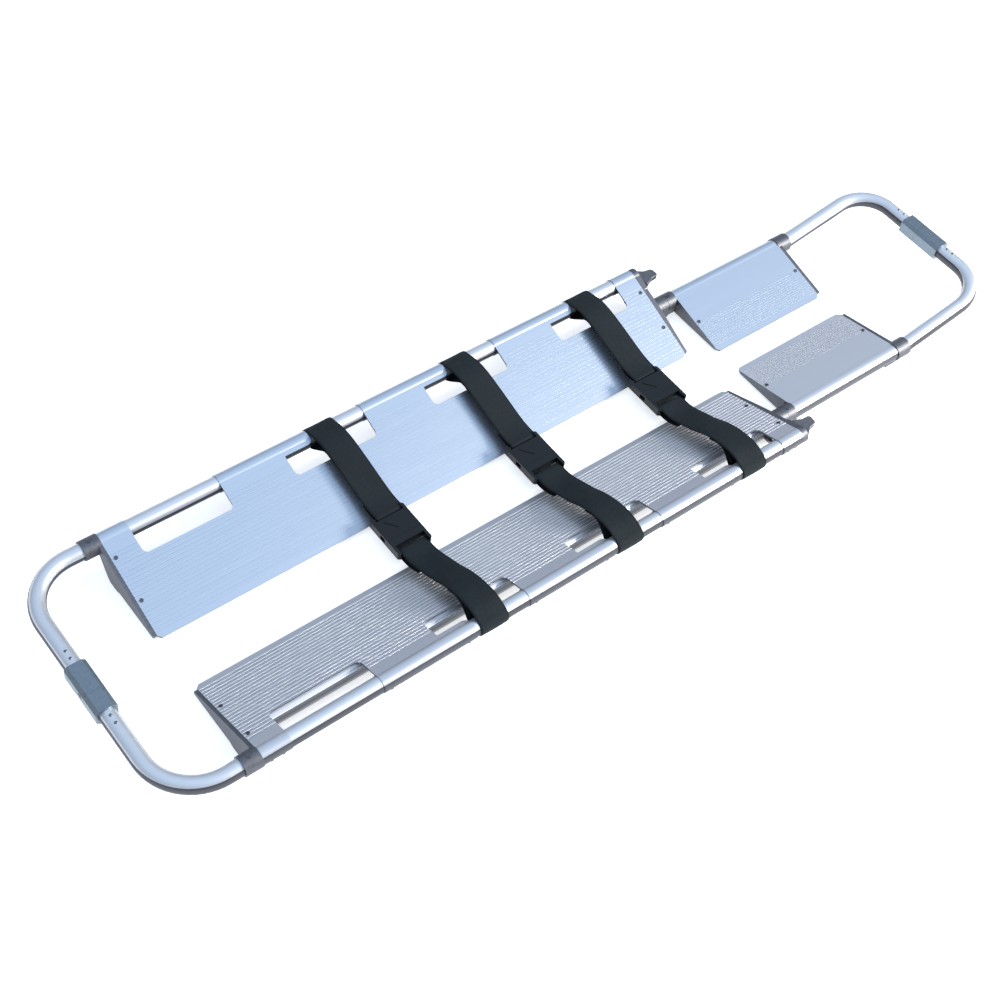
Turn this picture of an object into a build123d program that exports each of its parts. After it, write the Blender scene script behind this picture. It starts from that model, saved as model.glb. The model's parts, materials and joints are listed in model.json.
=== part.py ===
"""Folding scoop stretcher: two mirrored halves joined by a coupling at each end.

Frame: +X from the head end to the foot end, +Y from the near half to the far half,
+Z up, with the floor at Z = 0 and the origin in the middle of the outline.
Every piece of the far half (+Y) is modelled once and mirrored for the near half.
Lengths along X are given as stations, counted towards the foot end.
"""
import os
from math import atan2, cos, degrees, hypot, radians, sin, tan

from build123d import *

# ---- driving dimensions (mm) ----
HEAD_FACE = -6.0  # station of the head coupling's outer face
FOOT_FACE = 1643.0  # station of the foot coupling's outer face, legs in
WIDTH = 430.0
TUBE_R = 12.7  # frame tube outer radius
TUBE_WALL = 1.6

# main section
RAIL_Z = 50.0  # axis height of the main rail
WRAP_R = 13.7  # outer radius of the panel's wrap round the rail
BLADE_T = 3.0
MAIN_INNER_Y = 44.7
MAIN_INNER_Z = 6.8
MAIN_SLOPE = 20.2
MAIN_START = 135.0
MAIN_END = 1118.0
CASTING_R = 15.0  # the head castings' sockets are the widest part
RAIL_Y = WIDTH / 2 - CASTING_R

# leg section
LEG_Y = 144.0
LEG_Z = 21.0
LEG_WRAP_R = 13.9
LEG_INNER_Y = 22.6
LEG_INNER_Z = 6.8
LEG_SLOPE = 13.1
LEG_START = 1169.0
LEG_END = 1409.5
FOOT_Z = 57.3  # axis height of the foot coupling
LEG_BEND = 1440.0  # station where the foot loop starts to rise

# head and foot loops
COUPLING_W = 32.0
COUPLING_H = 29.0
COUPLING_CHAMFER = 5.5
COUPLING_HALF = 41.0
SEAM = 9.0  # the seam lies this far from the middle plane
HEAD_AXIS = HEAD_FACE + COUPLING_W / 2
FOOT_AXIS = FOOT_FACE - COUPLING_W / 2
HEAD_BEND_R = 78.0
FOOT_BEND_R = 62.0
RISE_BEND_R = 70.0

# slots: (window start, wrap cut start, end)
SLOT_INNER_Y = 152.5
SLOT_OUTER_Y = 184.8
LONG_SLOT = (179.0, 179.0, 324.0)
STRAP_SLOT = (430.0, 480.0, 573.5)
STRAP_PITCH = 251.0
STRAP_COUNT = 3

# sliding leg tube, its guide and the channel round the guide
CHANNEL = (150.2, 1090.8)
CHANNEL_R = (13.8, 14.8)  # round the guide tube, and up against the blade
SLIDE_R = 11.0
GUIDE_BORE = 11.05
SLIDE_START = 569.0
PLATE_T = (5.0, 8.5, 10.5)  # at the inner end, at the leg tube and at the rail
PLATE_END = MAIN_END + PLATE_T[1]
HINGE_AT = 1151.0
HINGE_Z = 3.5
EYE_R = 3.5
PIN_R = 1.75
SEAM_GAP = 0.25
HINGE_PIN_FIT = 0.05

# straps and buckles
STRAP_W = 48.0
STRAP_T = 2.4
STRAP_AT = 507.0  # station of the first strap's middle
BUCKLE_Z = 27.0
BUCKLE_T = 13.0
BUCKLE_W = 60.0
SOCKET_FAR = 40.0
SOCKET_NEAR = -7.0
PLUG_NEAR = -36.0

# length lock: lever, crank and pin in the main foot casting
LEVER_AT = 1110.0
LEVER_Y = 178.0
LOCK_AT = 1099.0
LOCK_PIN_R = 2.5
LOCK_PITCH = 60.0

# fasteners
SCREW_R = 1.75
SCREW_HEAD_R = 3.0
SCREW_HEAD_H = 1.2
RIVET_R = 1.5

os.makedirs("parts", exist_ok=True)


def at(station):
    """X of a station."""
    return station - (HEAD_FACE + FOOT_FACE) / 2


def save(part, name):
    part.label = name
    export_step(part, f"parts/{name}.step")


def save_pair(part, name):
    """Write a far-half piece and its mirror image, the near-half piece."""
    save(part, f"far_{name}")
    with BuildPart() as near:
        mirror(part, about=Plane.XZ)
    save(near.part, f"near_{name}")


def section(station):
    """Plane across the stretcher: local x is Y, local y is Z."""
    return Plane.YZ.offset(at(station))


def main_top(y):
    return MAIN_INNER_Z + (y - MAIN_INNER_Y) * tan(radians(MAIN_SLOPE))


def leg_top(y):
    return LEG_INNER_Z + (y - LEG_INNER_Y) * tan(radians(LEG_SLOPE))


# ---- panels ----
def panel_profile(inner, rail, wrap_r, slope, rib_span, rib_pitch):
    """Blade with ribs on top, running into a ring round the rail tube."""
    blade_length = (rail[0] - inner[0]) / cos(radians(slope)) - 4.0
    Circle_at = Location((rail[0], rail[1], 0))
    with Locations(Circle_at):
        Circle(wrap_r)
    with Locations(Location((inner[0], inner[1], 0), (0, 0, slope))):
        Rectangle(blade_length, BLADE_T, align=(Align.MIN, Align.MAX))
    rib_count = int((rib_span[1] - rib_span[0]) / rib_pitch) + 1
    for i in range(rib_count):
        along = rib_span[0] + i * rib_pitch
        y = inner[0] + along * cos(radians(slope))
        z = inner[1] + along * sin(radians(slope))
        with Locations(Location((y, z, 0), (0, 0, slope))):
            Rectangle(1.6, 1.4)
    with Locations(Circle_at):
        Circle(TUBE_R, mode=Mode.SUBTRACT)


def slot_outline(start, wrap_start, end):
    """Plan of a slot: the window in the blade and the cut through the wrap."""
    outer = WIDTH / 2 + 1
    corners = [(start, SLOT_INNER_Y), (end, SLOT_INNER_Y), (end, outer), (wrap_start, outer)]
    if wrap_start > start:
        corners += [(wrap_start, SLOT_OUTER_Y), (start, SLOT_OUTER_Y)]
    Polygon(*((at(station), y) for station, y in corners), align=None)


def blade_screw_planes(stations, ys, top, slope):
    """Planes on the blade's top face, normal to it, one for each screw."""
    return [
        Plane(origin=(at(s), y, top(y)), x_dir=(1, 0, 0),
              z_dir=(0, -sin(radians(slope)), cos(radians(slope))))
        for s in stations for y in ys]


MAIN_SCREWS = blade_screw_planes((141.5, 1110.5), (100.0, 165.0), main_top, MAIN_SLOPE)
LEG_SCREWS = blade_screw_planes((1175.5, 1403.5), (82.0,), leg_top, LEG_SLOPE)


def cut_screw_holes(planes, depth=12.0):
    for plane in planes:
        with Locations(plane.location):
            Cylinder(SCREW_R, depth, align=(Align.CENTER, Align.CENTER, Align.CENTER),
                     mode=Mode.SUBTRACT)


def face_screw_seats(planes):
    """Clear the ribs away under the screw heads."""
    for plane in planes:
        with Locations(plane.location):
            Cylinder(SCREW_HEAD_R + 0.3, 3.0, align=(Align.CENTER, Align.CENTER, Align.MIN),
                     mode=Mode.SUBTRACT)


def wrap_ends():
    """Stations of the rivets, one near each end of each stretch of the wrap."""
    cuts = [LONG_SLOT] + [
        tuple(edge + i * STRAP_PITCH for edge in STRAP_SLOT) for i in range(STRAP_COUNT)]
    starts = [MAIN_START] + [cut[2] for cut in cuts]
    ends = [cut[1] for cut in cuts] + [MAIN_END]
    inset = 13.0
    return [s + inset for s in starts] + [e - inset for e in ends]


RIVET_TILT = -28.0  # rivets sit on the outer side of the rail, below its middle


def rivet_locations():
    return [
        Location((at(s), RAIL_Y, RAIL_Z)) * Location((0, 0, 0), (RIVET_TILT, 0, 0))
        for s in wrap_ends()]


def cut_rivet_holes():
    for place in rivet_locations():
        with Locations(place * Location((0, WRAP_R - 2.0, 0), (90, 0, 0))):
            Cylinder(RIVET_R, 8.0, mode=Mode.SUBTRACT)


with BuildPart() as main_panel:
    with BuildSketch(section(MAIN_START)):
        panel_profile((MAIN_INNER_Y, MAIN_INNER_Z), (RAIL_Y, RAIL_Z), WRAP_R, MAIN_SLOPE,
                      (12.0, 136.0), 6.2)
    extrude(amount=MAIN_END - MAIN_START)
    with BuildSketch(Plane.XY.offset(-5)) as slots:
        slot_outline(*LONG_SLOT)
        for i in range(STRAP_COUNT):
            slot_outline(*(edge + i * STRAP_PITCH for edge in STRAP_SLOT))
        inner_corners = slots.vertices().filter_by_position(Axis.Y, SLOT_INNER_Y - 1, SLOT_INNER_Y + 1)
        fillet(inner_corners, 8.0)
        wrap_noses = [
            v for v in slots.vertices()
            if abs(v.Y - SLOT_OUTER_Y) < 0.1
            and any(abs(v.X - at(STRAP_SLOT[1] + i * STRAP_PITCH)) < 0.1 for i in range(STRAP_COUNT))]
        fillet(wrap_noses, 10.0)
    extrude(amount=90, mode=Mode.SUBTRACT)
    with BuildSketch(Plane.XY.offset(-5)):
        for station in (MAIN_START, MAIN_END):
            with Locations((at(station), MAIN_INNER_Y)):
                Rectangle(8, 8, rotation=45)
    extrude(amount=20, mode=Mode.SUBTRACT)
    cut_screw_holes(MAIN_SCREWS)
    face_screw_seats(MAIN_SCREWS)
    cut_rivet_holes()
    # channel under the blade, gripping the guide tube between the two castings
    with BuildSketch(section(CHANNEL[0])):
        with Locations((LEG_Y, LEG_Z)):
            Circle(CHANNEL_R[0])
        with Locations((LEG_Y + 4.0, LEG_Z + 5.5)):
            Circle(CHANNEL_R[1])
        make_hull()
        with Locations((LEG_Y, LEG_Z)):
            Circle(TUBE_R, mode=Mode.SUBTRACT)
    extrude(amount=CHANNEL[1] - CHANNEL[0])
save_pair(main_panel.part, "main_panel")

with BuildPart() as leg_panel:
    with BuildSketch(section(LEG_START)):
        panel_profile((LEG_INNER_Y, LEG_INNER_Z), (LEG_Y, LEG_Z), LEG_WRAP_R, LEG_SLOPE,
                      (12.0, 60.0), 4.0)
    extrude(amount=LEG_END - LEG_START)
    with BuildSketch(Plane.XY.offset(-5)):
        for station in (LEG_START, LEG_END):
            with Locations((at(station), LEG_INNER_Y)):
                Rectangle(8, 8, rotation=45)
    extrude(amount=20, mode=Mode.SUBTRACT)
    cut_screw_holes(LEG_SCREWS)
    face_screw_seats(LEG_SCREWS)
save_pair(leg_panel.part, "leg_panel")


# ---- frame tubes ----
COUPLING_TUBE_END = COUPLING_HALF  # the tubes butt against the coupling blocks
HEAD_CASTING_SCREW = Plane(origin=(at(121.0), RAIL_Y, RAIL_Z + CASTING_R))
HEAD_CORNER = (at(HEAD_AXIS), RAIL_Y, RAIL_Z)
FOOT_CORNER = (at(FOOT_AXIS), LEG_Y, FOOT_Z)
LEG_TUBE_START = 1162.0
SPIGOT_RIVET_YS = (51.0, 64.0)


def cut_spigot_rivet_holes(x, z):
    """Holes in the top of a loop for the rivets into the coupling's spigot."""
    for y in SPIGOT_RIVET_YS:
        with Locations((x, y, z + TUBE_R)):
            Cylinder(RIVET_R, 9.0, mode=Mode.SUBTRACT)


with BuildPart() as frame_tube:
    with BuildLine() as frame_axis:
        FilletPolyline((HEAD_CORNER[0], COUPLING_TUBE_END, RAIL_Z), HEAD_CORNER,
                       (at(MAIN_END), RAIL_Y, RAIL_Z), radius=HEAD_BEND_R)
    with BuildSketch(Plane(origin=(HEAD_CORNER[0], COUPLING_TUBE_END, RAIL_Z), z_dir=(0, 1, 0))):
        Circle(TUBE_R)
        Circle(TUBE_R - TUBE_WALL, mode=Mode.SUBTRACT)
    sweep(path=frame_axis.wire())
    cut_rivet_holes()
    cut_screw_holes([HEAD_CASTING_SCREW])
    cut_spigot_rivet_holes(HEAD_CORNER[0], RAIL_Z)
save_pair(frame_tube.part, "frame_tube")

with BuildPart() as leg_tube:
    with BuildLine() as leg_axis:
        FilletPolyline((at(LEG_TUBE_START), LEG_Y, LEG_Z), (at(LEG_BEND), LEG_Y, LEG_Z), FOOT_CORNER,
                       (FOOT_CORNER[0], COUPLING_TUBE_END, FOOT_Z), radius=[RISE_BEND_R, FOOT_BEND_R])
    with BuildSketch(Plane(origin=(at(LEG_TUBE_START), LEG_Y, LEG_Z), z_dir=(1, 0, 0))):
        Circle(TUBE_R)
        Circle(TUBE_R - TUBE_WALL, mode=Mode.SUBTRACT)
    sweep(path=leg_axis.wire())
    cut_spigot_rivet_holes(FOOT_CORNER[0], FOOT_Z)
save_pair(leg_tube.part, "leg_tube")

with BuildPart() as guide_tube:
    with BuildSketch(section(MAIN_START - 4)):
        with Locations((LEG_Y, LEG_Z)):
            Circle(TUBE_R)
            Circle(GUIDE_BORE, mode=Mode.SUBTRACT)
    extrude(amount=MAIN_END - MAIN_START + 4)
    with Locations(Location((at(LOCK_AT), LEG_Y + TUBE_R, LEG_Z), (90, 0, 0))):
        Cylinder(LOCK_PIN_R + 0.1, 6.0, mode=Mode.SUBTRACT)
save_pair(guide_tube.part, "guide_tube")

SLIDE_END = HINGE_AT - 4.0
LOCK_HOLES = [LOCK_AT - i * LOCK_PITCH for i in range(7)]
with BuildPart() as slide_tube:
    with BuildSketch(section(SLIDE_START)):
        with Locations((LEG_Y, LEG_Z)):
            Circle(SLIDE_R)
            Circle(SLIDE_R - 1.5, mode=Mode.SUBTRACT)
    extrude(amount=SLIDE_END - SLIDE_START)
    for station in LOCK_HOLES:
        with Locations(Location((at(station), LEG_Y + SLIDE_R, LEG_Z), (90, 0, 0))):
            Cylinder(LOCK_PIN_R + 0.2, 5.0, mode=Mode.SUBTRACT)
save_pair(slide_tube.part, "slide_tube")


# ---- castings ----
ARM_T = 5.5
FLANGE_W = 15.0
FLANGE_T = 4.0
LEDGE = 0.4  # arms stand this far below the panels' top face


def arm_outline(inner_y, outer_y, top, feet):
    """Side view of an arm: feet is the underside, (y, z) points from the outside in."""
    Polygon((inner_y, top(inner_y)), (outer_y, top(outer_y)), *feet, align=None)


def main_under(y):
    return main_top(y) - BLADE_T / cos(radians(MAIN_SLOPE))


def leg_under(y):
    return leg_top(y) - BLADE_T / cos(radians(LEG_SLOPE))


def bore(station, length, y, z, radius):
    """Hole along X."""
    with Locations(Location((at(station) + length / 2, y, z), (0, 90, 0))):
        Cylinder(radius, length, mode=Mode.SUBTRACT)


with BuildPart() as head_casting:
    with BuildSketch(section(108.0)):
        with Locations((RAIL_Y, RAIL_Z)):
            Circle(CASTING_R)
    extrude(amount=MAIN_START - 108.0)
    with BuildSketch(section(MAIN_START - ARM_T)):
        arm_outline(52.0, 190.0, lambda y: main_top(y) - LEDGE, [
            (192.0, 38.0), (170.0, 4.0), (165.0, 0.0), (148.0, 0.0), (140.0, 4.0), (52.0, 3.8)])
    extrude(amount=ARM_T)
    with BuildSketch(section(MAIN_START)):
        arm_outline(52.0, 184.0, main_under, [(184.0, main_under(184) - FLANGE_T),
                                              (60.0, main_under(60) - FLANGE_T), (52.0, main_under(52) - 1.5)])
    extrude(amount=FLANGE_W)
    with BuildSketch(section(MAIN_START)):
        with Locations((115.0, FLANGE_T / 2)):
            Rectangle(86.0, FLANGE_T)
        with Locations((LEG_Y, LEG_Z)):
            Circle(15.7)
    extrude(amount=FLANGE_W)
    bore(108.0, 60.0, RAIL_Y, RAIL_Z, TUBE_R)
    bore(MAIN_START - 4, 60.0, LEG_Y, LEG_Z, TUBE_R)
    cut_screw_holes(MAIN_SCREWS[:2] + [HEAD_CASTING_SCREW])
save_pair(head_casting.part, "head_casting")

LEVER_SLOT_Y = 175.5
LEVER_SLOT_Z = 47.8
HOUSING_TOP = 43.7
with BuildPart() as foot_casting:
    with BuildSketch(section(MAIN_END)):
        arm_outline(50.0, 190.0, main_top, [(196.0, 36.0), (170.0, 7.3), (100.0, 7.3), (90.0, 3.8), (50.0, 3.8)])
        with Locations((RAIL_Y, RAIL_Z)):
            Circle(WRAP_R)
    extrude(amount=PLATE_T[2])
    with BuildSketch():
        Polygon(*((at(MAIN_END) + x, y) for x, y in (
            (0, 45), (PLATE_T[0], 45), (PLATE_T[1], 126), (PLATE_T[1], 163), (PLATE_T[2], 172),
            (PLATE_T[2], 220), (0, 220))), align=None)
    extrude(amount=80, mode=Mode.INTERSECT)
    with BuildSketch(section(MAIN_END - FLANGE_W)):
        arm_outline(52.0, 171.0, main_under, [(171.0, main_under(171) - FLANGE_T),
                                              (60.0, main_under(60) - FLANGE_T), (52.0, main_under(52) - 1.5)])
    extrude(amount=FLANGE_W)
    with BuildSketch(section(LOCK_AT - 8)):
        with Locations((LEG_Y, LEG_Z)):
            Circle(15.7)
        with Locations((LEG_Y, 0)):
            Rectangle(40, 14.6, mode=Mode.SUBTRACT)
    extrude(amount=MAIN_END - LOCK_AT + 8)
    with Locations(Location((at(LOCK_AT), 163.0, LEG_Z), (90, 0, 0))):
        Cylinder(5.5, 14.0)
    with Locations((at(LEVER_AT), LEVER_Y, HOUSING_TOP - 8.7)):
        Cylinder(6.0, 17.4)
    with Locations((at(LEVER_AT) + 4, LEVER_Y, HOUSING_TOP - 8.7)):
        Box(8.2, 10.0, 17.4)
    bore(LOCK_AT - 10, MAIN_END - LOCK_AT + 10, LEG_Y, LEG_Z, TUBE_R)
    bore(LOCK_AT - 10, 60.0, LEG_Y, LEG_Z, GUIDE_BORE)
    with Locations(Location((at(LOCK_AT), 163.0, LEG_Z), (90, 0, 0))):
        Cylinder(LOCK_PIN_R + 0.05, 16.0, mode=Mode.SUBTRACT)
    with Locations((at(LEVER_AT), LEVER_Y, 35.0)):
        Cylinder(3.05, 20.0, mode=Mode.SUBTRACT)
    with Locations((at(MAIN_END) - 2, LEVER_SLOT_Y, LEVER_SLOT_Z)):
        Box(28.0, 18.0, 8.2, mode=Mode.SUBTRACT)
    cut_screw_holes(MAIN_SCREWS[2:])
save_pair(foot_casting.part, "foot_casting")


BLOCK_TOP = 36.5
BLOCK_OUTER = 159.5
BLOCK_INNER = 132.0


def block_outline():
    """Section of the knuckle blocks: round on top, flat below."""
    with Locations((LEG_Y, LEG_Z)):
        Circle(BLOCK_TOP - LEG_Z)
    Polygon((BLOCK_INNER, 3.8), (BLOCK_OUTER, 3.8), (BLOCK_OUTER, LEG_Z), (LEG_Y, LEG_Z), (130.2, 14.0),
            align=None)
    with Locations((LEG_Y, 0.0)):
        Rectangle(60.0, 7.6, mode=Mode.SUBTRACT)


def eye(y_from, y_to, radius, mode=Mode.ADD):
    """Hinge eye or clearance along Y about the fold axis."""
    with Locations(Location((at(HINGE_AT), (y_from + y_to) / 2, HINGE_Z), (90, 0, 0))):
        Cylinder(radius, y_to - y_from, mode=mode)


EYE_SPLIT = (132.0, 141.0, 150.5, 159.5)
EYE_GAP = 0.3
with BuildPart() as slide_fitting:
    with BuildSketch(section(PLATE_END + 0.4)):
        block_outline()
    extrude(amount=HINGE_AT - SEAM_GAP - PLATE_END - 0.4)
    for low, high in ((EYE_SPLIT[0] - 8, EYE_SPLIT[1]), (EYE_SPLIT[2], EYE_SPLIT[3] + 1)):
        eye(low, high, EYE_R + 0.4, Mode.SUBTRACT)
    eye(EYE_SPLIT[1] + EYE_GAP, EYE_SPLIT[2] - EYE_GAP, EYE_R)
    eye(EYE_SPLIT[0], EYE_SPLIT[3], PIN_R, Mode.SUBTRACT)
    bore(PLATE_END, SLIDE_END - PLATE_END, LEG_Y, LEG_Z, SLIDE_R)
save_pair(slide_fitting.part, "slide_fitting")

LEG_BLOCK_SCREWS = [
    Plane(origin=(at(1156.8), LEG_Y, BLOCK_TOP)),
    Plane(origin=(at(1160.5), BLOCK_OUTER, 12.0), x_dir=(1, 0, 0), z_dir=(0, 1, 0))]
with BuildPart() as leg_head_casting:
    with BuildSketch(section(HINGE_AT + SEAM_GAP)):
        block_outline()
    extrude(amount=LEG_START - HINGE_AT - SEAM_GAP)
    with BuildSketch(section(LEG_START)):
        arm_outline(31.0, 128.0, leg_under, [(128.5, 17.0), (133.5, 10.0), (133.5, 3.8), (31.0, 3.8)])
    extrude(amount=5)
    with BuildSketch(section(LEG_START)):
        arm_outline(32.0, 128.0, leg_under, [(128.0, leg_under(128) - FLANGE_T),
                                             (42.0, leg_under(42) - FLANGE_T), (32.0, leg_under(32) - 1.2)])
    extrude(amount=FLANGE_W)
    eye(EYE_SPLIT[1] - EYE_GAP, EYE_SPLIT[2] + EYE_GAP, EYE_R + 0.4, Mode.SUBTRACT)
    for low, high in ((EYE_SPLIT[0], EYE_SPLIT[1] - EYE_GAP), (EYE_SPLIT[2] + EYE_GAP, EYE_SPLIT[3])):
        eye(low, high, EYE_R)
    eye(EYE_SPLIT[0] - 1, EYE_SPLIT[3] + 1, PIN_R + HINGE_PIN_FIT, Mode.SUBTRACT)
    bore(LEG_TUBE_START, 60.0, LEG_Y, LEG_Z, TUBE_R)
    cut_screw_holes(LEG_SCREWS[:1])
    cut_screw_holes(LEG_BLOCK_SCREWS)
save_pair(leg_head_casting.part, "leg_head_casting")

with BuildPart() as leg_foot_casting:
    with BuildSketch(section(LEG_END)):
        with Locations((LEG_Y, LEG_Z)):
            Circle(15.7)
    extrude(amount=1438.0 - LEG_END)
    with BuildSketch(section(LEG_END)):
        arm_outline(30.0, 140.0, lambda y: leg_top(y) - LEDGE, [(152.0, 12.0), (152.0, 0.0), (100.0, 0.0),
                                                               (94.0, 3.8), (30.0, 3.8)])
    extrude(amount=7)
    with BuildSketch(section(LEG_END - FLANGE_W)):
        arm_outline(32.0, 128.0, leg_under, [(128.0, leg_under(128) - FLANGE_T),
                                             (42.0, leg_under(42) - FLANGE_T), (32.0, leg_under(32) - 1.2)])
        with Locations((126.0, 2.0)):
            Rectangle(52.0, 4.0)
    extrude(amount=FLANGE_W)
    bore(LEG_END, 60.0, LEG_Y, LEG_Z, TUBE_R)
    cut_screw_holes(LEG_SCREWS[1:])
save_pair(leg_foot_casting.part, "leg_foot_casting")

with BuildPart() as hinge_pin:
    eye(EYE_SPLIT[0], EYE_SPLIT[3], PIN_R)
save_pair(hinge_pin.part, "hinge_pin")


# ---- length lock ----
# plan of the lever's thumb piece: (distance beyond the pivot, y), and its corner radii
EAR = [(21.9, 172.5), (38.0, 179.5), (54.0, 180.5), (52.5, 197.5), (37.0, 199.5), (20.4, 211.5)]
EAR_RADII = [2.0, 14.0, 5.0, 6.0, 14.0, 2.5]

with BuildPart() as lock_lever:
    with BuildSketch(Plane.XY.offset(20.3)):
        with Locations((at(LEVER_AT), LEVER_Y)):
            Circle(4.5)
            Rectangle(LEVER_AT - LOCK_AT, 3.0, align=(Align.MAX, Align.CENTER))
        with Locations((at(LOCK_AT), LEVER_Y)):
            Circle(2.5)
    extrude(amount=5.7)
    with Locations((at(LEVER_AT), LEVER_Y, 20.3)):
        Cylinder(3.0, 29.1, align=(Align.CENTER, Align.CENTER, Align.MIN))
    with BuildSketch(Plane.XY.offset(HOUSING_TOP + 0.5)):
        with Locations((at(LEVER_AT), LEVER_Y), (at(LEVER_AT) + 24, LEVER_Y)):
            Circle(4.8)
        make_hull()
    extrude(amount=5.2)
    with BuildSketch(Plane.XY.offset(HOUSING_TOP + 0.5)):
        with BuildLine():
            FilletPolyline(*((at(LEVER_AT) + x, y) for x, y in EAR), radius=EAR_RADII, close=True)
        make_face()
    extrude(amount=8.5)
    fillet(lock_lever.faces().sort_by(Axis.Z)[-1].edges(), 1.5)
save_pair(lock_lever.part, "lock_lever")

with BuildPart() as lock_pin:
    with Locations(Location((at(LOCK_AT), 169.35, LEG_Z), (90, 0, 0))):
        Cylinder(LOCK_PIN_R, 28.3)
    with Locations((at(LOCK_AT), LEVER_Y, LEG_Z + 1.0)):
        Box(8.0, 5.2, 4.0, align=(Align.CENTER, Align.CENTER, Align.CENTER), mode=Mode.SUBTRACT)
save_pair(lock_pin.part, "lock_pin")


# ---- couplings ----
TONGUE_END = 13.0
TONGUE = (14.0, 12.0)
CAVITY = (14.6, 12.6)
BUTTON_R = 4.4
BUTTON_Y = 2.0
BUTTON_TRAVEL = 2.5


def bevelled_section():
    Polygon(*[
        (side * (COUPLING_W / 2 - inset_x), end * (COUPLING_H / 2 - inset_z))
        for side, end, inset_x, inset_z in (
            (1, -1, 0, COUPLING_CHAMFER), (1, 1, 0, COUPLING_CHAMFER), (1, 1, COUPLING_CHAMFER, 0),
            (-1, 1, COUPLING_CHAMFER, 0), (-1, 1, 0, COUPLING_CHAMFER), (-1, -1, 0, COUPLING_CHAMFER),
            (-1, -1, COUPLING_CHAMFER, 0), (1, -1, COUPLING_CHAMFER, 0))], align=None)


def spigot(start, direction):
    """Round end fitting inside the tube, with its rivet holes."""
    with Locations(Location((0, start + direction * 16.5, 0), (90, 0, 0))):
        Cylinder(TUBE_R - TUBE_WALL - 0.05, 33.0)
    for y in SPIGOT_RIVET_YS:
        with Locations((0, direction * y, TUBE_R)):
            Cylinder(RIVET_R, 9.0, mode=Mode.SUBTRACT)


with BuildPart() as socket:
    with BuildSketch(Plane.XZ.offset(SEAM)):
        bevelled_section()
    extrude(amount=-SEAM - COUPLING_HALF)
    spigot(COUPLING_HALF, 1)
    with Locations((0, -SEAM + 11.75, 0)):
        Box(CAVITY[0], 23.5, CAVITY[1], mode=Mode.SUBTRACT)
    with Locations(Location((-12.0, BUTTON_Y, 0), (0, 90, 0))):
        Cylinder(BUTTON_R + 0.1, 12.0, mode=Mode.SUBTRACT)

with BuildPart() as plug:
    with BuildSketch(Plane.XZ.offset(COUPLING_HALF)):
        bevelled_section()
    extrude(amount=SEAM + SEAM_GAP - COUPLING_HALF)
    spigot(-COUPLING_HALF, -1)
    with Locations((0, (TONGUE_END - SEAM) / 2 - 0.5, 0)):
        Box(TONGUE[0], TONGUE_END + SEAM + 1, TONGUE[1])
    with Locations(Location((-TONGUE[0] / 2, BUTTON_Y, 0), (0, 90, 0))):
        Cylinder(BUTTON_R + 0.3, 2 * BUTTON_TRAVEL + 1, mode=Mode.SUBTRACT)

with BuildPart() as button:
    with Locations(Location((-COUPLING_W / 2 - 1.5, BUTTON_Y, 0), (0, 90, 0))):
        Cylinder(BUTTON_R, COUPLING_W / 2 + 1.5 - CAVITY[0] / 2 - 0.1,
                 align=(Align.CENTER, Align.CENTER, Align.MIN))
    fillet(button.faces().sort_by(Axis.X)[0].edges(), 1.0)

HEAD_PLACE = Location((HEAD_CORNER[0], 0, RAIL_Z))
FOOT_PLACE = Location((FOOT_CORNER[0], 0, FOOT_Z), (0, 0, 180))
for place, end in ((HEAD_PLACE, "head"), (FOOT_PLACE, "foot")):
    save(place * socket.part, f"{end}_socket")
    save(place * plug.part, f"{end}_plug")
    save(place * button.part, f"{end}_button")


# ---- fasteners ----
def screws(planes):
    """Pan-head screws: head on the plane, shank going in."""
    for plane in planes:
        with Locations(plane.location):
            Cylinder(SCREW_HEAD_R, SCREW_HEAD_H, align=(Align.CENTER, Align.CENTER, Align.MIN))
            Cylinder(SCREW_R - 0.05, 5.9, align=(Align.CENTER, Align.CENTER, Align.MAX))
            with Locations((0, 0, SCREW_HEAD_H)):
                Box(4.2, 0.9, 1.4, mode=Mode.SUBTRACT)
                Box(0.9, 4.2, 1.4, mode=Mode.SUBTRACT)


def rivet(place):
    """Domed rivet on a tube: head at the place, shank along its -Z."""
    with Locations(place):
        Cylinder(RIVET_R - 0.05, 3.8, align=(Align.CENTER, Align.CENTER, Align.MAX))
        Cone(2.4, 1.5, 0.8, align=(Align.CENTER, Align.CENTER, Align.MIN))


with BuildPart() as main_screws:
    screws(MAIN_SCREWS + [HEAD_CASTING_SCREW])
save_pair(main_screws.part, "main_screws")

with BuildPart() as leg_screws:
    screws(LEG_SCREWS + LEG_BLOCK_SCREWS)
save_pair(leg_screws.part, "leg_screws")

with BuildPart() as rail_rivets:
    for place in rivet_locations():
        rivet(place * Location((0, WRAP_R, 0), (-90, 0, 0)))
save_pair(rail_rivets.part, "rail_rivets")

for corner, name in ((HEAD_CORNER, "head_rivets"), (FOOT_CORNER, "foot_rivets")):
    with BuildPart() as spigot_rivets:
        for y in SPIGOT_RIVET_YS:
            rivet(Location((corner[0], y, corner[2] + TUBE_R)))
    save_pair(spigot_rivets.part, name)


# ---- straps ----
def band(points, thickness):
    """Ribbon of even thickness along a line of points."""
    left = []
    right = []
    for i, (y, z) in enumerate(points):
        before = points[max(i - 1, 0)]
        after = points[min(i + 1, len(points) - 1)]
        run = hypot(after[0] - before[0], after[1] - before[1])
        normal = (-(after[1] - before[1]) / run, (after[0] - before[0]) / run)
        left.append((y + normal[0] * thickness / 2, z + normal[1] * thickness / 2))
        right.append((y - normal[0] * thickness / 2, z - normal[1] * thickness / 2))
    Polygon(*left, *reversed(right), align=None)


def loop_round(y, z, radius):
    """Loop of webbing round a bar or tube of the given radius."""
    with Locations((y, z)):
        Circle(radius + STRAP_T)


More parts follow.
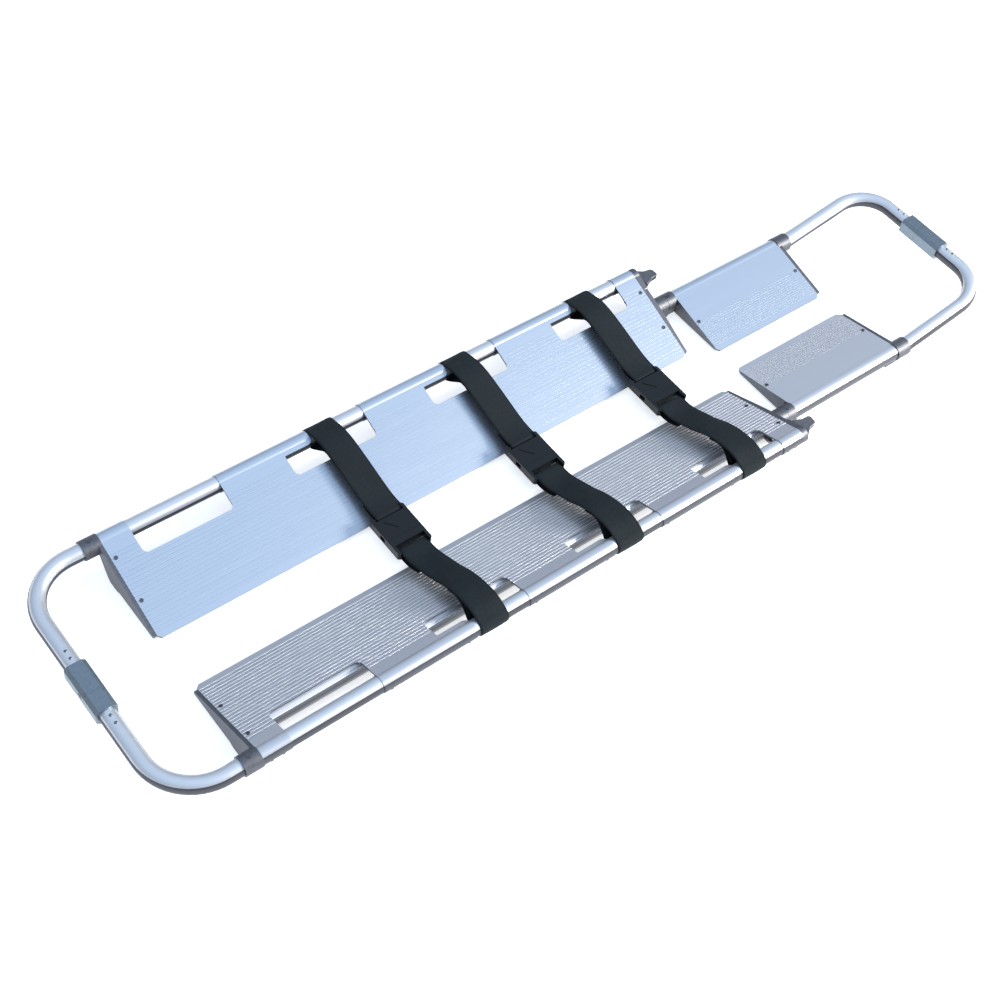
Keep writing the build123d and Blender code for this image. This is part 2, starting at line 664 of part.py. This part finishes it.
LOOP_R = TUBE_R + 0.05
LOOP_MID = LOOP_R + STRAP_T / 2
BAR_AT = (36.5, 27.0)
BAR_R = 2.4
FAR_STRAP = [
    (BAR_AT[0], BAR_AT[1] + BAR_R + 0.1 + STRAP_T / 2), (46, 29.8), (57, 30.5), (68, 33), (79, 36.5),
    (101, 45.0), (124, 54.0), (145, 62.0), (160, 66.0), (172, 67.5), (184, 67.0), (192, 65.4),
    (RAIL_Y, RAIL_Z + LOOP_MID)]
FAR_TAIL = [(160, 64.2), (170, 61.5), (180, 54.0), (187.5, 44.5), (193.5, 37.9), (RAIL_Y, RAIL_Z - LOOP_MID)]
NEAR_STRAP = [
    (36.8, 28.7), (46, 28.8), (56, 30.0), (68, 33.6), (80, 38.5), (103, 48.5), (116, 56.0), (128, 62.0),
    (146, 68.0), (163, 71.0), (187, 72.0), (198, 71.5), (206, 68.5), (211.5, 62.0),
    (RAIL_Y + LOOP_MID, RAIL_Z)]
NEAR_TAIL = [(150, 67.3), (165, 66.0), (177, 57.5), (186.5, 45.0), (193.0, 38.1), (RAIL_Y, RAIL_Z - LOOP_MID)]

for i in range(STRAP_COUNT):
    start = STRAP_AT + i * STRAP_PITCH - STRAP_W / 2
    with BuildPart() as far_strap:
        with BuildSketch(section(start)):
            loop_round(RAIL_Y, RAIL_Z, LOOP_R)
            loop_round(*BAR_AT, BAR_R + 0.1)
            band(FAR_STRAP, STRAP_T)
            band(FAR_TAIL, STRAP_T)
            with Locations((RAIL_Y, RAIL_Z)):
                Circle(LOOP_R, mode=Mode.SUBTRACT)
            with Locations(BAR_AT):
                Circle(BAR_R + 0.1, mode=Mode.SUBTRACT)
        extrude(amount=STRAP_W)
    save(far_strap.part, f"far_strap_{i + 1}")
    with BuildPart() as near_strap:
        with BuildSketch(section(start)):
            with Locations((RAIL_Y, RAIL_Z)):
                Circle(LOOP_R + STRAP_T)
                Rectangle(40, 80, align=(Align.MAX, Align.MIN), mode=Mode.SUBTRACT)
                Rectangle(40, 80, align=(Align.MIN, Align.MIN), mode=Mode.SUBTRACT)
            band(NEAR_STRAP, STRAP_T)
            band(NEAR_TAIL, STRAP_T)
            with Locations((RAIL_Y, RAIL_Z)):
                Circle(LOOP_R, mode=Mode.SUBTRACT)
        extrude(amount=STRAP_W)
    with BuildPart() as near_side:
        mirror(near_strap.part, about=Plane.XZ)
    save(near_side.part, f"near_strap_{i + 1}")


# ---- buckles ----
SLEEVE = (48.0, 8.0)  # opening in the socket for the prongs
PRONG_END = 8.5
LADDER_END = -19.5
with BuildPart() as buckle_socket:
    with BuildSketch() as socket_plan:
        with Locations((0, SOCKET_NEAR)):
            Rectangle(BUCKLE_W, SOCKET_FAR - SOCKET_NEAR, align=(Align.CENTER, Align.MIN))
        chamfer(socket_plan.vertices().group_by(Axis.Y)[-1], 3.0)
    extrude(amount=BUCKLE_T / 2, both=True)
    with Locations((0, SOCKET_NEAR, 0)):
        Box(SLEEVE[0], 19.0, SLEEVE[1], align=(Align.CENTER, Align.MIN, Align.CENTER), mode=Mode.SUBTRACT)
    with Locations((0, 4.0, 0)):
        Box(BUCKLE_W + 2, 11.0, SLEEVE[1] - 0.8, mode=Mode.SUBTRACT)
    with Locations((0, 29.5, 0)):
        Box(STRAP_W + 2, 22.0, BUCKLE_T + 2, align=(Align.CENTER, Align.MIN, Align.CENTER),
            mode=Mode.SUBTRACT)
    with Locations(Location((0, BAR_AT[0], 0), (0, 90, 0))):
        Cylinder(BAR_R, STRAP_W + 4)
    with BuildSketch(Plane.XY.offset(BUCKLE_T / 2)):
        Polygon((-15, 24), (15, 24), (0, 4), align=None)
    extrude(amount=0.8)

with BuildPart() as buckle_plug:
    with BuildSketch() as plug_plan:
        with Locations((0, PLUG_NEAR)):
            Rectangle(BUCKLE_W, SOCKET_NEAR - SEAM_GAP - PLUG_NEAR, align=(Align.CENTER, Align.MIN))
        chamfer(plug_plan.vertices().group_by(Axis.Y)[0], 3.0)
    extrude(amount=BUCKLE_T / 2, both=True)
    with Locations((0, PLUG_NEAR - 1, 0.2)):
        Box(STRAP_W + 2, LADDER_END - PLUG_NEAR + 1, BUCKLE_T, align=(Align.CENTER, Align.MIN, Align.MIN),
            mode=Mode.SUBTRACT)
    for y in (-31.8, -24.2):
        with Locations((0, y, 0)):
            Box(STRAP_W + 2, 4.2, BUCKLE_T + 2, mode=Mode.SUBTRACT)
    with Locations((19.6, SOCKET_NEAR - 1, 0), (-19.6, SOCKET_NEAR - 1, 0), (0, SOCKET_NEAR - 1, 0)):
        Box(8.0, PRONG_END - SOCKET_NEAR + 1, SLEEVE[1] - 0.8, align=(Align.CENTER, Align.MIN, Align.CENTER))

for i in range(STRAP_COUNT):
    place = Location((at(STRAP_AT + i * STRAP_PITCH), 0, BUCKLE_Z))
    save(place * buckle_socket.part, f"buckle_socket_{i + 1}")
    save(place * buckle_plug.part, f"buckle_plug_{i + 1}")
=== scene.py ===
"""Looks for the folding scoop stretcher: finishes, webbing, floor, light and camera."""
import json
import math

import bmesh
import bpy
from mathutils import Matrix, Vector


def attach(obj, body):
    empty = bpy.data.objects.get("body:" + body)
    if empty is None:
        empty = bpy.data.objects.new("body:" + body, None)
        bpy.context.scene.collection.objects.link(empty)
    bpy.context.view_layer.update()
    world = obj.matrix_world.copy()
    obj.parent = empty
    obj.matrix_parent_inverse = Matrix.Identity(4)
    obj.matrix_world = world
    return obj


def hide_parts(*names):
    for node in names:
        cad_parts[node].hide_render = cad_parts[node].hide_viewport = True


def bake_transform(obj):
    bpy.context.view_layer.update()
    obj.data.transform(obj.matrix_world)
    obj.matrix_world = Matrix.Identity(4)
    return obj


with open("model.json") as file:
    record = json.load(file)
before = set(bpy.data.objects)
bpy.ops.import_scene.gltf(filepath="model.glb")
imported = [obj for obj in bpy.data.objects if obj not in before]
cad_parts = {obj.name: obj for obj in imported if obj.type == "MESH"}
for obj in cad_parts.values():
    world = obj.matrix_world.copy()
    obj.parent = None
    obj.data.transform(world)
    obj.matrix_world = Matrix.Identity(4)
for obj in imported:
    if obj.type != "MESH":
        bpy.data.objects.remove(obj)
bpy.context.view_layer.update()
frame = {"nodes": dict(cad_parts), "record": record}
nodes = frame["nodes"]
record = frame["record"]
slot_of = {part["node"]: part["material_slot"] for part in record["subparts"]}

# ---- materials ----
# Sockets of a colour Mix node.
FACTOR, FIRST, SECOND = 0, 6, 7
MIXED = 2


def new_material(name):
    material = bpy.data.materials.new(name)
    material.use_nodes = True
    tree = material.node_tree
    return material, tree, tree.nodes["Principled BSDF"]


def add(tree, kind, **values):
    node = tree.nodes.new(kind)
    for key, value in values.items():
        setattr(node, key, value)
    return node


def coordinates(tree, kind):
    """X, Y and Z sockets of a texture coordinate."""
    place = add(tree, "ShaderNodeTexCoord")
    split = add(tree, "ShaderNodeSeparateXYZ")
    tree.links.new(place.outputs[kind], split.inputs[0])
    return split.outputs


def noise(tree, scale, detail=3.0, stretch=(1, 1, 1)):
    """Noise in the object's frame, with the scale multiplied by stretch along each axis."""
    place = add(tree, "ShaderNodeTexCoord")
    mapping = add(tree, "ShaderNodeMapping")
    mapping.inputs["Scale"].default_value = stretch
    texture = add(tree, "ShaderNodeTexNoise")
    texture.inputs["Scale"].default_value = scale
    texture.inputs["Detail"].default_value = detail
    tree.links.new(place.outputs["Object"], mapping.inputs["Vector"])
    tree.links.new(mapping.outputs["Vector"], texture.inputs["Vector"])
    return texture.outputs["Fac"]


def ramp(tree, value, low, high):
    """Map a 0 to 1 value onto low to high."""
    node = add(tree, "ShaderNodeMapRange")
    node.inputs["To Min"].default_value = low
    node.inputs["To Max"].default_value = high
    tree.links.new(value, node.inputs["Value"])
    return node.outputs["Result"]


def smooth_step(tree, value, low, high):
    """0 below low, 1 above high and a smooth rise between."""
    node = add(tree, "ShaderNodeMapRange", interpolation_type="SMOOTHSTEP")
    node.inputs["From Min"].default_value = low
    node.inputs["From Max"].default_value = high
    tree.links.new(value, node.inputs["Value"])
    return node.outputs["Result"]


def math_node(tree, operation, first, second=None, third=None):
    """A Math node's output. Each operand is a number or a socket."""
    node = add(tree, "ShaderNodeMath", operation=operation)
    for socket, value in zip(node.inputs, (first, second, third)):
        if value is None:
            continue
        if isinstance(value, (int, float)):
            socket.default_value = value
        else:
            tree.links.new(value, socket)
    return node.outputs[0]


def mixed(tree, share, first, second, **options):
    """Mix two colours. The share is a number or a socket, and so is each colour."""
    node = add(tree, "ShaderNodeMix", data_type="RGBA", **options)
    for place, value in ((FACTOR, share), (FIRST, first), (SECOND, second)):
        if isinstance(value, float):
            node.inputs[place].default_value = value
        elif isinstance(value, (list, tuple)):
            node.inputs[place].default_value = (*value, 1)
        else:
            tree.links.new(value, node.inputs[place])
    return node.outputs[MIXED]


def bump(tree, height, strength, distance):
    node = add(tree, "ShaderNodeBump")
    node.inputs["Strength"].default_value = strength
    node.inputs["Distance"].default_value = distance
    tree.links.new(height, node.inputs["Height"])
    return node


def metal(name, dark, light, rough, bump_strength=0.1, scale=60.0):
    """Cast or turned metal with an even grain."""
    material, tree, shader = new_material(name)
    shader.inputs["Metallic"].default_value = 1.0
    grain = noise(tree, scale, 4.0)
    tree.links.new(mixed(tree, grain, dark, light), shader.inputs["Base Color"])
    tree.links.new(ramp(tree, grain, *rough), shader.inputs["Roughness"])
    tree.links.new(bump(tree, grain, bump_strength, 0.0005).outputs["Normal"], shader.inputs["Normal"])
    return material


def plastic(name, colour, rough):
    """Moulded plastic with a fine texture."""
    material, tree, shader = new_material(name)
    shader.inputs["Base Color"].default_value = (*colour, 1)
    shader.inputs["Roughness"].default_value = rough
    shader.inputs["Specular IOR Level"].default_value = 0.3
    texture = bump(tree, noise(tree, 900.0, 2.0), 0.1, 0.0003)
    tree.links.new(texture.outputs["Normal"], shader.inputs["Normal"])
    return material


# Painted shade: a face counts as a lit top when its upward part, less this share of its outward part,
# passes LIT_FROM, and other faces take a darker side colour.
OUTWARD_SHARE = 0.232
LIT_FROM = 0.47
LIT_FADE = 0.06


def painted_shade_mask(tree):
    """1 on faces that look up, 0 on sides and undersides, which get painted shade; read from the
    normal in the object's own axes.
    """
    normal = coordinates(tree, "Normal")
    where = coordinates(tree, "Object")
    side = math_node(tree, "SIGN", where["Y"])
    outward = math_node(tree, "MULTIPLY", normal["Y"], side)
    lean = math_node(tree, "MULTIPLY", outward, OUTWARD_SHARE)
    height = math_node(tree, "SUBTRACT", normal["Z"], lean)
    return smooth_step(tree, height, LIT_FROM, LIT_FROM + LIT_FADE)


# Ribs of the blades: y and z of the inner edge, slope in degrees, then the first rib, the last rib
# and the pitch, measured up the slope from that edge.
RIB_HALF = 0.0009
MAIN_RIBS = (0.0447, 0.0068, 20.2, 0.012, 0.136, 0.0062)
LEG_RIBS = (0.0226, 0.0068, 13.1, 0.012, 0.060, 0.004)


def rib_crests(tree, ribs):
    """Height of the rounded ribs: 1 on a crest and 0 between."""
    inner_y, inner_z, slope, first, last, pitch = ribs
    slope = math.radians(slope)
    where = coordinates(tree, "Object")
    across = math_node(tree, "SUBTRACT", math_node(tree, "ABSOLUTE", where["Y"]), inner_y)
    up = math_node(tree, "SUBTRACT", where["Z"], inner_z)
    along = math_node(tree, "ADD", math_node(tree, "MULTIPLY", across, math.cos(slope)),
                      math_node(tree, "MULTIPLY", up, math.sin(slope)))
    from_first = math_node(tree, "SUBTRACT", along, first - pitch / 2)
    phase = math_node(tree, "FRACT", math_node(tree, "DIVIDE", from_first, pitch))
    off = math_node(tree, "ABSOLUTE", math_node(tree, "SUBTRACT", phase, 0.5))
    share = math_node(tree, "MULTIPLY", off, pitch / RIB_HALF)
    squared = math_node(tree, "SUBTRACT", 1.0, math_node(tree, "MULTIPLY", share, share))
    round_top = math_node(tree, "SQRT", math_node(tree, "MAXIMUM", squared, 0.0))
    inside = math_node(tree, "MULTIPLY", math_node(tree, "GREATER_THAN", along, first - RIB_HALF),
                       math_node(tree, "LESS_THAN", along, last + RIB_HALF))
    return math_node(tree, "MULTIPLY", round_top, inside)


# Painted shade colour for the sides and undersides of the blades.
PAINTED_SIDE_SHADE = (0.13, 0.135, 0.15)


def metal_with_painted_shade(name, light, dark=PAINTED_SIDE_SHADE, rough=(0.33, 0.45), metallic=0.9, stretch=(0.4, 30, 30),
               scale=16.0, bump_strength=0.06, ribs=None, rib_shade_and_highlight=(1, 1), lift=0):
    """Drawn or extruded aluminium, bright on top, with painted shade darkening its sides and
    undersides.

    The ribs' colour is multiplied by a pair of factors: the first darkens between the ribs as painted
    shade, the second lights their crests as painted highlight. Their shading is rounded by lift, in
    metres.
    """
    material, tree, shader = new_material(name)
    shader.inputs["Metallic"].default_value = metallic
    grain = noise(tree, scale, 5.0, stretch)
    stain = noise(tree, 9.0, 4.0)
    top = mixed(tree, grain, [c * 0.93 for c in light], light)
    side = mixed(tree, stain, [c * 0.8 for c in dark], dark)
    # Painted shade: faces that don't look up take the darker side colour, tops the lit colour.
    colour = mixed(tree, painted_shade_mask(tree), side, top)
    tree.links.new(ramp(tree, grain, *rough), shader.inputs["Roughness"])
    fine = bump(tree, grain, bump_strength, 0.0004)
    if ribs:
        crest = rib_crests(tree, ribs)
        rounding = bump(tree, crest, 1.0, lift)
        tree.links.new(rounding.outputs["Normal"], fine.inputs["Normal"])
        # Painted shade between the ribs and a painted highlight on their crests.
        rib_painted_light = mixed(tree, crest, (rib_shade_and_highlight[0],) * 3, (rib_shade_and_highlight[1],) * 3)
        colour = mixed(tree, 1.0, colour, rib_painted_light, blend_type="MULTIPLY")
    tree.links.new(fine.outputs["Normal"], shader.inputs["Normal"])
    tree.links.new(colour, shader.inputs["Base Color"])
    return material


WEAVE_PITCH = 0.0016  # crosswise ribs of the webbing
YARN_PITCH = 0.0011
SELVEDGE = (0.0195, 0.0232)  # where the darker edge begins and is full, from the middle line
THREAD_DARK = (0.006, 0.010, 0.012)
THREAD_LIGHT = (0.022, 0.034, 0.040)
THREAD_EDGE = (0.004, 0.006, 0.008)


def woven(name):
    """Ribbed polypropylene webbing, its pattern in metres across and along the strap."""
    material, tree, shader = new_material(name)
    where = coordinates(tree, "UV")
    row = math_node(tree, "SINE", math_node(tree, "MULTIPLY", where["Y"], 2 * math.pi / WEAVE_PITCH))
    yarn = math_node(tree, "SINE", math_node(tree, "MULTIPLY", where["X"], 2 * math.pi / YARN_PITCH))
    weave = math_node(tree, "MULTIPLY_ADD", math_node(tree, "MULTIPLY", row, yarn), 0.25, 0.5)
    weave = math_node(tree, "MULTIPLY_ADD", row, 0.25, weave)
    fuzz = noise(tree, 260.0, 4.0)
    dust = noise(tree, 22.0)
    thread = mixed(tree, math_node(tree, "MULTIPLY", weave, fuzz), THREAD_DARK, THREAD_LIGHT)
    edge = smooth_step(tree, math_node(tree, "ABSOLUTE", where["X"]), *SELVEDGE)
    tree.links.new(mixed(tree, edge, thread, THREAD_EDGE), shader.inputs["Base Color"])
    tree.links.new(ramp(tree, dust, 0.62, 0.85), shader.inputs["Roughness"])
    shader.inputs["Specular IOR Level"].default_value = 0.2
    tree.links.new(bump(tree, weave, 0.6, 0.0004).outputs["Normal"], shader.inputs["Normal"])
    return material


finishes = {
    # The tube's second colour is painted shade on its sides and undersides.
    "tube": metal_with_painted_shade("tube", (0.66, 0.69, 0.73), (0.10, 0.10, 0.11), (0.38, 0.50), 0.85,
                       (0.6, 20, 20), 18.0, 0.05),
    "casting": metal("casting", (0.10, 0.105, 0.12), (0.20, 0.205, 0.225), (0.45, 0.60), 0.35, 220.0),
    "coupling": metal("coupling", (0.17, 0.21, 0.24), (0.27, 0.32, 0.36), (0.36, 0.48), 0.2, 220.0),
    "button": metal("button", (0.35, 0.36, 0.38), (0.45, 0.46, 0.48), (0.25, 0.35)),
    "steel": metal("steel", (0.10, 0.10, 0.11), (0.20, 0.20, 0.22), (0.3, 0.45)),
    "rivet": metal("rivet", (0.12, 0.12, 0.13), (0.24, 0.24, 0.26), (0.3, 0.45)),
    "lever": metal("lever", (0.12, 0.12, 0.13), (0.22, 0.22, 0.235), (0.45, 0.58), 0.35, 200.0),
    "webbing": woven("webbing"),
    "buckle": plastic("buckle", (0.005, 0.007, 0.009), 0.36),
}
# Two tones of the same aluminium blades: the far blades' bluer tone is a painted sky reflection, the
# near blades' greyer, lighter tone a painted reflection of their surroundings.
FAR_BLADE_TONE_PAINTED_SKY = (0.53, 0.60, 0.69)
NEAR_BLADE_TONE_PAINTED_REFLECTION = (0.66, 0.68, 0.73)
panels = {
    "far_main_panel": metal_with_painted_shade("far_panel", FAR_BLADE_TONE_PAINTED_SKY, ribs=MAIN_RIBS, rib_shade_and_highlight=(0.97, 1.08)),
    "near_main_panel": metal_with_painted_shade("near_panel", NEAR_BLADE_TONE_PAINTED_REFLECTION, metallic=0.85, ribs=MAIN_RIBS,
                                  rib_shade_and_highlight=(0.88, 1.7), lift=0.0004),
    "far_leg_panel": metal_with_painted_shade("far_leg_panel", FAR_BLADE_TONE_PAINTED_SKY, ribs=LEG_RIBS, rib_shade_and_highlight=(1.0, 1.03)),
    "near_leg_panel": metal_with_painted_shade("near_leg_panel", NEAR_BLADE_TONE_PAINTED_REFLECTION, metallic=0.85, ribs=LEG_RIBS,
                                 rib_shade_and_highlight=(0.97, 1.12)),
}
for name, obj in nodes.items():
    obj.data.materials.clear()
    obj.data.materials.append(panels.get(name) or finishes[slot_of[name]])

# ---- webbing ----
STRAP_W = 0.048
STRAP_T = 0.0019
RIPPLE = 0.0003  # how far the webbing waves off its path
RIPPLE_TURN = 0.11  # turn of the wave in radians, for each row along the webbing
RIPPLE_SKEW = 2.3  # and from the middle line to an edge
STEP = 0.0022  # length of one row of faces
MM = 0.001
RAIL = (200.0, 50.0)  # rail axis, mm across and up
LOOP = 14.0  # middle of the webbing round the rail, mm
LOOP_POINTS = 9


def round_rail(start, end):
    """Points round the rail, angles in degrees from straight up towards the outside."""
    angles = [math.radians(start + (end - start) * i / (LOOP_POINTS - 1)) for i in range(LOOP_POINTS)]
    return [(RAIL[0] + LOOP * math.sin(a), RAIL[1] + LOOP * math.cos(a)) for a in angles]


# Middle of the webbing in mm across and up. The far one starts under itself, turns round the buckle's
# bar, rises to the rail, passes round it and ends sewn to itself.
FAR_PATH = [
    (66, 29.6), (56, 26.6), (47, 24.6), (40, 23.6), (35.6, 23.5), (33, 25.4), (33.2, 28.8),
    (36.2, 30.7), (44, 30.6), (57, 32.0), (68, 34.6), (79, 38.2), (101, 46.2), (124, 55.0),
    (145, 62.4), (160, 66.4), (172, 68.0), (184, 67.6), (193, 65.6),
] + round_rail(6, 178) + [
    (191, 38.3), (183, 43.2), (175, 49.6), (167, 56.2), (160, 61.6), (152, 62.4), (143, 59.6),
    (136, 57.0),
]
# The near one starts at its free end, turns up through the plug's slots and goes on in the same way.
NEAR_PATH = [
    (72, 28.6), (62, 23.8), (52, 20.2), (42, 18.6), (32, 18.4), (26.5, 18.9), (24.0, 21.6),
    (24.2, 25.4), (26.2, 28.2), (30, 29.0), (38, 29.4), (46, 29.6), (56, 31.0), (68, 34.6),
    (80, 39.5), (103, 49.3), (116, 56.6), (128, 62.4), (146, 68.4), (163, 71.2), (178, 71.6),
    (190, 69.4),
] + round_rail(12, 178) + [
    (191, 38.3), (184, 44.0), (177, 52.0), (170, 60.0), (162, 66.6), (152, 67.4), (142, 64.6),
    (134, 61.4),
]
CURVE_PARTS = 12


def smooth_line(points):
    """Even points, about STEP apart, along a Catmull-Rom curve, and its length."""
    ends = [2 * points[0] - points[1]] + points + [2 * points[-1] - points[-2]]
    fine = []
    for a, b, c, d in zip(ends, ends[1:], ends[2:], ends[3:]):
        for i in range(CURVE_PARTS):
            t = i / CURVE_PARTS
            fine.append(0.5 * (2 * b + (c - a) * t + (2 * a - 5 * b + 4 * c - d) * t ** 2
                               + (3 * b - a - 3 * c + d) * t ** 3))
    fine.append(points[-1])
    lengths = [0.0]
    for a, b in zip(fine, fine[1:]):
        lengths.append(lengths[-1] + (b - a).length)
    count = round(lengths[-1] / STEP)
    even, at = [], 0
    for i in range(count + 1):
        target = lengths[-1] * i / count
        while at < len(fine) - 2 and lengths[at + 1] < target:
            at += 1
        share = (target - lengths[at]) / (lengths[at + 1] - lengths[at])
        even.append(fine[at].lerp(fine[at + 1], min(max(share, 0), 1)))
    return even, lengths[-1]


# Places across the webbing, as shares of its half width, closer together at the rounded edges.
ACROSS = [-1.0, -0.985, -0.94, -0.8, -0.6, -0.4, -0.2, 0.0, 0.2, 0.4, 0.6, 0.8, 0.94, 0.985, 1.0]
EDGE_POWER = 9
EDGE_LEAST = 0.02


def add_face(mesh, uv, corners):
    """One smooth face. Each corner is a vertex with its place across and along the webbing."""
    made = mesh.faces.new([vertex for vertex, _, _ in corners])
    made.smooth = True
    for loop, (_, across, along) in zip(made.loops, corners):
        loop[uv].uv = (across, along)


def strap(name, path, side, middle_x, skew):
    """Webbing along the path: a thin ribbon with rounded edges that waves a little, skewed along X."""
    line, length = smooth_line([Vector((0, side * y * MM, z * MM)) for y, z in path])
    mesh = bmesh.new()
    uv = mesh.loops.layers.uv.new("weave")
    rows = []
    for i, point in enumerate(line):
        along = (line[min(i + 1, len(line) - 1)] - line[max(i - 1, 0)]).normalized()
        normal = along.cross(Vector((1, 0, 0))).normalized() * -side
        shift = middle_x + skew(abs(point.y))
        ring = []
        for face_side in (1, -1):
            for share in ACROSS[::face_side]:
                thick = STRAP_T / 2 * math.sqrt(max(1 - abs(share) ** EDGE_POWER, EDGE_LEAST))
                turn = i * RIPPLE_TURN + share * RIPPLE_SKEW
                wave = RIPPLE * math.sin(turn) * math.sin(math.pi * i / len(line))
                across = share * STRAP_W / 2
                offset = normal * (face_side * thick + wave) + Vector((shift + across, 0, 0))
                ring.append((mesh.verts.new(point + offset), across, i * length / len(line)))
        rows.append(ring)
    count = len(rows[0])
    for first, second in zip(rows, rows[1:]):
        for k in range(count):
            after = (k + 1) % count
            add_face(mesh, uv, (first[k], first[after], second[after], second[k]))
    add_face(mesh, uv, rows[0][::-1])
    add_face(mesh, uv, rows[-1])
    bmesh.ops.recalc_face_normals(mesh, faces=mesh.faces)
    data = bpy.data.meshes.new(name)
    mesh.to_mesh(data)
    mesh.free()
    obj = bpy.data.objects.new(name, data)
    bpy.context.scene.collection.objects.link(obj)
    data.materials.append(finishes["webbing"])
    return obj, length


def share_between(y, low, high):
    return min(max((y - low) / (high - low), 0), 1)


def far_skew(y):
    """The far webbing leans towards the foot end at its buckle and the head end at the rail."""
    return 0.0045 - 0.009 * share_between(y, 0.04, 0.20)


def near_skew(y):
    """The near webbing leans towards the foot end at the rail."""
    return 0.003 * share_between(y, 0.05, 0.20)


FIRST_STRAP = -0.3115
STRAP_PITCH = 0.251
for i in range(3):
    middle = FIRST_STRAP + i * STRAP_PITCH
    far, far_length = strap(f"far_webbing_{i + 1}", FAR_PATH, 1, middle, far_skew)
    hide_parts(f"far_strap_{i + 1}")
    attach(far, "far_main")
    near, near_length = strap(f"near_webbing_{i + 1}", NEAR_PATH, -1, middle, near_skew)
    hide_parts(f"near_strap_{i + 1}")
    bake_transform(near)

# ---- floor and light ----
bpy.ops.mesh.primitive_plane_add(size=14, location=(0, 0, -0.0005))
floor = bpy.context.object
floor.name = "floor"
floor_finish, _, shader = new_material("floor")
shader.inputs["Base Color"].default_value = (0.93, 0.93, 0.93, 1)
shader.inputs["Roughness"].default_value = 0.9
shader.inputs["Emission Color"].default_value = (1, 1, 1, 1)
shader.inputs["Emission Strength"].default_value = 0.6
floor.data.materials.append(floor_finish)

# Colours of the surroundings by height: 0 is the horizon and below it, 1 is straight overhead.
SKY = [
    (0.0, (0.30, 0.31, 0.35)),
    (0.30, (0.36, 0.38, 0.44)),
    (0.55, (0.62, 0.72, 0.86)),
    (1.0, (0.76, 0.97, 1.28)),
]
world = bpy.data.worlds.new("studio")
bpy.context.scene.world = world
world.use_nodes = True
tree = world.node_tree
sky = add(tree, "ShaderNodeValToRGB")
tree.links.new(coordinates(tree, "Generated")["Z"], sky.inputs["Fac"])
tree.links.new(sky.outputs["Color"], tree.nodes["Background"].inputs["Color"])
while len(sky.color_ramp.elements) < len(SKY):
    sky.color_ramp.elements.new(0.5)
for element, (height, colour) in zip(sky.color_ramp.elements, SKY):
    element.position = height
    element.color = (*colour, 1)
bpy.context.scene.view_settings.view_transform = "Standard"

key_light = bpy.data.lights.new("key", "AREA")
key_light.shape = "SQUARE"
key_light.size = 1.2
key_light.energy = 230
key_light.color = (1.0, 0.95, 0.88)
key = bpy.data.objects.new("key", key_light)
bpy.context.scene.collection.objects.link(key)
key.location = (2.7, -2.4, 2.1)
key.rotation_euler = (-Vector(key.location)).to_track_quat("-Z", "Y").to_euler()

# ---- camera ----
EYE = Vector((-1.2295, -1.0373, 1.9015))
AIM = Vector((-0.1681, -0.0452, 0.05))
ROLL = 0.19353  # radians
camera_data = bpy.data.cameras.new("camera")
camera_data.lens = 58.135
camera_data.dof.use_dof = False
camera = bpy.data.objects.new("camera", camera_data)
bpy.context.scene.collection.objects.link(camera)
forward = (AIM - EYE).normalized()
level = forward.cross(Vector((0, 0, 1))).normalized()
down = forward.cross(level)
right = math.cos(ROLL) * level - math.sin(ROLL) * down
below = math.sin(ROLL) * level + math.cos(ROLL) * down
turn = Matrix((right, -below, -forward)).transposed()
camera.matrix_world = Matrix.Translation(EYE) @ turn.to_4x4()
bpy.context.scene.camera = camera
